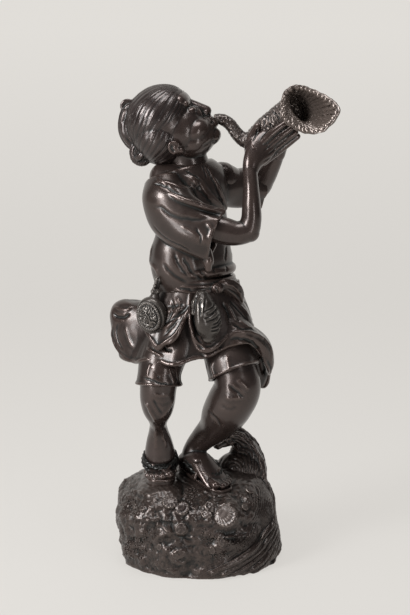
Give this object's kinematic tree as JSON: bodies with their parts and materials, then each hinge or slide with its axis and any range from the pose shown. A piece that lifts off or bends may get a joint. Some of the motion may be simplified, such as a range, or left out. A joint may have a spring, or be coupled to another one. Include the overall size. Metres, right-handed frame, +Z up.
{
  "type": "bronze statue",
  "caption": "Dark cast bronze statue of a boy in a short jacket and sandals who leans back to blow a shell horn on a wave-washed rock.",
  "frame": {"origin": "middle of the rock's flat underside, on the surface that the statue stands on", "axes": "+Z up; -Y towards the side that the statue is looked at from; the boy faces +X and the horn points towards +X and up"},
  "size_m": [0.2808, 0.1993, 0.5988],
  "materials": {
    "boy_bronze": "dark brown-black patina, hand-polished to a semi-gloss",
    "horn_bronze": "dark brown-black patina, semi-gloss, wrinkled and fluted",
    "rock_bronze": "dark brown-black patina, rougher and drier than the figure"
  },
  "bodies": {
    "root": {"boy": "boy_bronze", "horn": "horn_bronze", "rock": "rock_bronze"}
  },
  "joints": []
}
